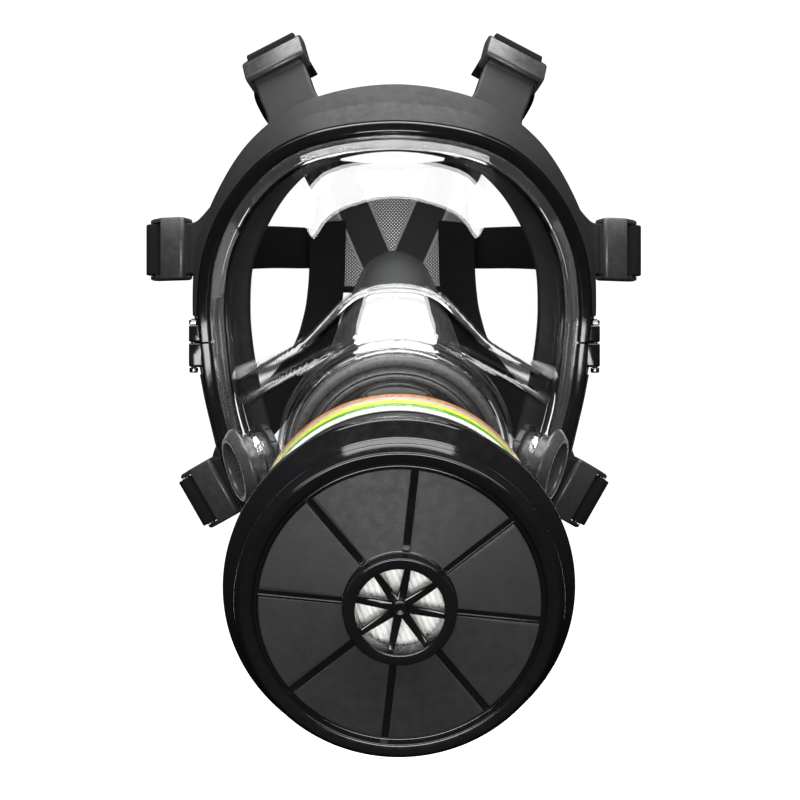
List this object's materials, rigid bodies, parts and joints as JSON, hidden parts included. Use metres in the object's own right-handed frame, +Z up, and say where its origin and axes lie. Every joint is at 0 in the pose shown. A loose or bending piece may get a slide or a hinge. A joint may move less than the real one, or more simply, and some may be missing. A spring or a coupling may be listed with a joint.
{
  "type": "full face respirator",
  "caption": "Full face respirator: wide clear visor, black rubber face seal with buckled head harness, side exhalation ports and a large screw-on front filter canister.",
  "frame": {"origin": "centre of the wearer's face opening, in the rear plane of the face seal, level with the middle of the visor", "axes": "-Y is the way the mask looks, +Z is up, +X is towards the right hand side of somebody looking at the mask"},
  "size_m": [0.2342, 0.3983, 0.2858],
  "materials": {
    "rubber_black": "matt black moulded rubber",
    "silicone_grey": "dark grey silicone, satin",
    "frame_black": "gloss black",
    "plastic_black": "fine textured black",
    "visor_clear": "clear polycarbonate, polished",
    "webbing_black": "woven polyester webbing",
    "mesh_fabric": "open mesh fabric",
    "steel": "plated steel",
    "valve_silicone": "translucent silicone",
    "filter_paper": "pleated filter paper",
    "activated_carbon": "packed carbon granules",
    "label_film": "printed film with plain colour bands"
  },
  "bodies": {
    "facepiece": {"face_seal": "rubber_black", "frame_upper": "frame_black", "frame_lower": "frame_black", "frame_screw_left": "steel", "frame_nut_left": "steel", "frame_screw_right": "steel", "frame_nut_right": "steel", "visor": "visor_clear", "front_housing": "plastic_black", "speech_diaphragm": "valve_silicone", "speech_grille": "plastic_black", "housing_bezel": "frame_black", "housing_gasket": "rubber_black", "housing_nut": "plastic_black", "inhalation_seat": "plastic_black", "side_port_body_left": "visor_clear", "side_port_nut_left": "plastic_black", "exhalation_seat_left": "plastic_black", "side_port_body_right": "visor_clear", "side_port_nut_right": "plastic_black", "exhalation_seat_right": "plastic_black", "nose_cup": "silicone_grey", "nose_valve_seat_left": "plastic_black", "nose_valve_seat_right": "plastic_black", "head_pad": "mesh_fabric", "strap_upper_left": "webbing_black", "strap_upper_right": "webbing_black", "strap_middle_left": "webbing_black", "strap_middle_right": "webbing_black", "strap_lower_left": "webbing_black", "strap_lower_right": "webbing_black"},
    "canister_seal": {"filter_gasket": "rubber_black"},
    "canister": {"canister_shell": "frame_black", "canister_cover": "frame_black", "canister_label": "label_film", "canister_base": "plastic_black", "particle_filter": "filter_paper", "carbon_bed": "activated_carbon", "screen_front": "steel", "screen_rear": "steel"},
    "inhalation_valve": {"inhalation_valve": "valve_silicone"},
    "exhalation_valve_left": {"exhalation_valve_left": "valve_silicone"},
    "exhalation_cover_left": {"exhalation_cover_left": "frame_black"},
    "nose_valve_left": {"nose_valve_left": "valve_silicone"},
    "exhalation_valve_right": {"exhalation_valve_right": "valve_silicone"},
    "exhalation_cover_right": {"exhalation_cover_right": "frame_black"},
    "nose_valve_right": {"nose_valve_right": "valve_silicone"},
    "buckle_upper_left": {"buckle_upper_left": "plastic_black"},
    "roller_upper_left": {"roller_upper_left": "plastic_black"},
    "buckle_upper_right": {"buckle_upper_right": "plastic_black"},
    "roller_upper_right": {"roller_upper_right": "plastic_black"},
    "buckle_middle_left": {"buckle_middle_left": "plastic_black"},
    "roller_middle_left": {"roller_middle_left": "plastic_black"},
    "buckle_middle_right": {"buckle_middle_right": "plastic_black"},
    "roller_middle_right": {"roller_middle_right": "plastic_black"},
    "buckle_lower_left": {"buckle_lower_left": "plastic_black"},
    "roller_lower_left": {"roller_lower_left": "plastic_black"},
    "buckle_lower_right": {"buckle_lower_right": "plastic_black"},
    "roller_lower_right": {"roller_lower_right": "plastic_black"}
  },
  "joints": [
    {"name": "canister_advance", "type": "slide", "parent": "facepiece", "child": "canister_seal", "axis": [0, -0.977, -0.213], "range_m": [0, 0.0128]},
    {"name": "canister_turn", "type": "hinge", "parent": "canister_seal", "child": "canister", "pos_m": [0, -0.11174, -0.04194], "axis": [0, -0.977, -0.213], "range_deg": [0, 1260]},
    {"name": "inhalation_valve_lift", "type": "slide", "parent": "facepiece", "child": "inhalation_valve", "axis": [0, 0.977, 0.213], "range_m": [0, 0.002], "stiffness_N_per_m": 20},
    {"name": "exhalation_valve_lift_left", "type": "slide", "parent": "facepiece", "child": "exhalation_valve_left", "axis": [-0.8974, -0.3445, -0.2756], "range_m": [0, 0.0015], "stiffness_N_per_m": 20},
    {"name": "exhalation_cover_turn_left", "type": "hinge", "parent": "facepiece", "child": "exhalation_cover_left", "pos_m": [-0.0626, -0.0743, -0.028], "axis": [-0.8974, -0.3445, -0.2756], "range_deg": [0, 30]},
    {"name": "nose_valve_lift_left", "type": "slide", "parent": "facepiece", "child": "nose_valve_left", "axis": [1, 0, 0], "range_m": [0, 0.0015], "stiffness_N_per_m": 20},
    {"name": "exhalation_valve_lift_right", "type": "slide", "parent": "facepiece", "child": "exhalation_valve_right", "axis": [0.8974, -0.3445, -0.2756], "range_m": [0, 0.0015], "stiffness_N_per_m": 20},
    {"name": "exhalation_cover_turn_right", "type": "hinge", "parent": "facepiece", "child": "exhalation_cover_right", "pos_m": [0.0626, -0.0743, -0.028], "axis": [0.8974, -0.3445, -0.2756], "range_deg": [0, 30]},
    {"name": "nose_valve_lift_right", "type": "slide", "parent": "facepiece", "child": "nose_valve_right", "axis": [-1, 0, 0], "range_m": [0, 0.0015], "stiffness_N_per_m": 20},
    {"name": "buckle_pivot_upper_left", "type": "hinge", "parent": "facepiece", "child": "buckle_upper_left", "pos_m": [-0.0518, -0.038, 0.1468], "axis": [0.8942, -0.182, 0.4091], "range_deg": [-10, 10], "deforming": ["strap_upper_left"]},
    {"name": "roller_spin_upper_left", "type": "hinge", "parent": "buckle_upper_left", "child": "roller_upper_left", "pos_m": [-0.05477, -0.02833, 0.1576], "axis": [0.8942, -0.182, 0.4091], "continuous": true},
    {"name": "buckle_pivot_upper_right", "type": "hinge", "parent": "facepiece", "child": "buckle_upper_right", "pos_m": [0.0518, -0.038, 0.1468], "axis": [0.8942, 0.182, -0.4091], "range_deg": [-10, 10], "deforming": ["strap_upper_right"]},
    {"name": "roller_spin_upper_right", "type": "hinge", "parent": "buckle_upper_right", "child": "roller_upper_right", "pos_m": [0.05477, -0.02833, 0.1576], "axis": [0.8942, 0.182, -0.4091], "continuous": true},
    {"name": "buckle_pivot_middle_left", "type": "hinge", "parent": "facepiece", "child": "buckle_middle_left", "pos_m": [-0.0986, -0.007, 0.0709], "axis": [0, 0, 1], "range_deg": [-10, 10], "deforming": ["strap_middle_left"]},
    {"name": "roller_spin_middle_left", "type": "hinge", "parent": "buckle_middle_left", "child": "roller_middle_left", "pos_m": [-0.11252, -0.00197, 0.0709], "axis": [0, 0, 1], "continuous": true},
    {"name": "buckle_pivot_middle_right", "type": "hinge", "parent": "facepiece", "child": "buckle_middle_right", "pos_m": [0.0986, -0.007, 0.0709], "axis": [0, 0, -1], "range_deg": [-10, 10], "deforming": ["strap_middle_right"]},
    {"name": "roller_spin_middle_right", "type": "hinge", "parent": "buckle_middle_right", "child": "roller_middle_right", "pos_m": [0.11252, -0.00197, 0.0709], "axis": [0, 0, -1], "continuous": true},
    {"name": "buckle_pivot_lower_left", "type": "hinge", "parent": "facepiece", "child": "buckle_lower_left", "pos_m": [-0.0796, -0.008, -0.04], "axis": [-0.4961, 0, 0.8682], "range_deg": [-10, 10], "deforming": ["strap_lower_left"]},
    {"name": "roller_spin_lower_left", "type": "hinge", "parent": "buckle_lower_left", "child": "roller_lower_left", "pos_m": [-0.09177, -0.00325, -0.04695], "axis": [-0.4961, 0, 0.8682], "continuous": true},
    {"name": "buckle_pivot_lower_right", "type": "hinge", "parent": "facepiece", "child": "buckle_lower_right", "pos_m": [0.0796, -0.008, -0.04], "axis": [-0.4961, 0, -0.8682], "range_deg": [-10, 10], "deforming": ["strap_lower_right"]},
    {"name": "roller_spin_lower_right", "type": "hinge", "parent": "buckle_lower_right", "child": "roller_lower_right", "pos_m": [0.09177, -0.00325, -0.04695], "axis": [-0.4961, 0, -0.8682], "continuous": true}
  ],
  "couplings": [
    {"joint": "canister_advance", "follows": "canister_turn", "m_per_rad": 0.00057757}
  ]
}
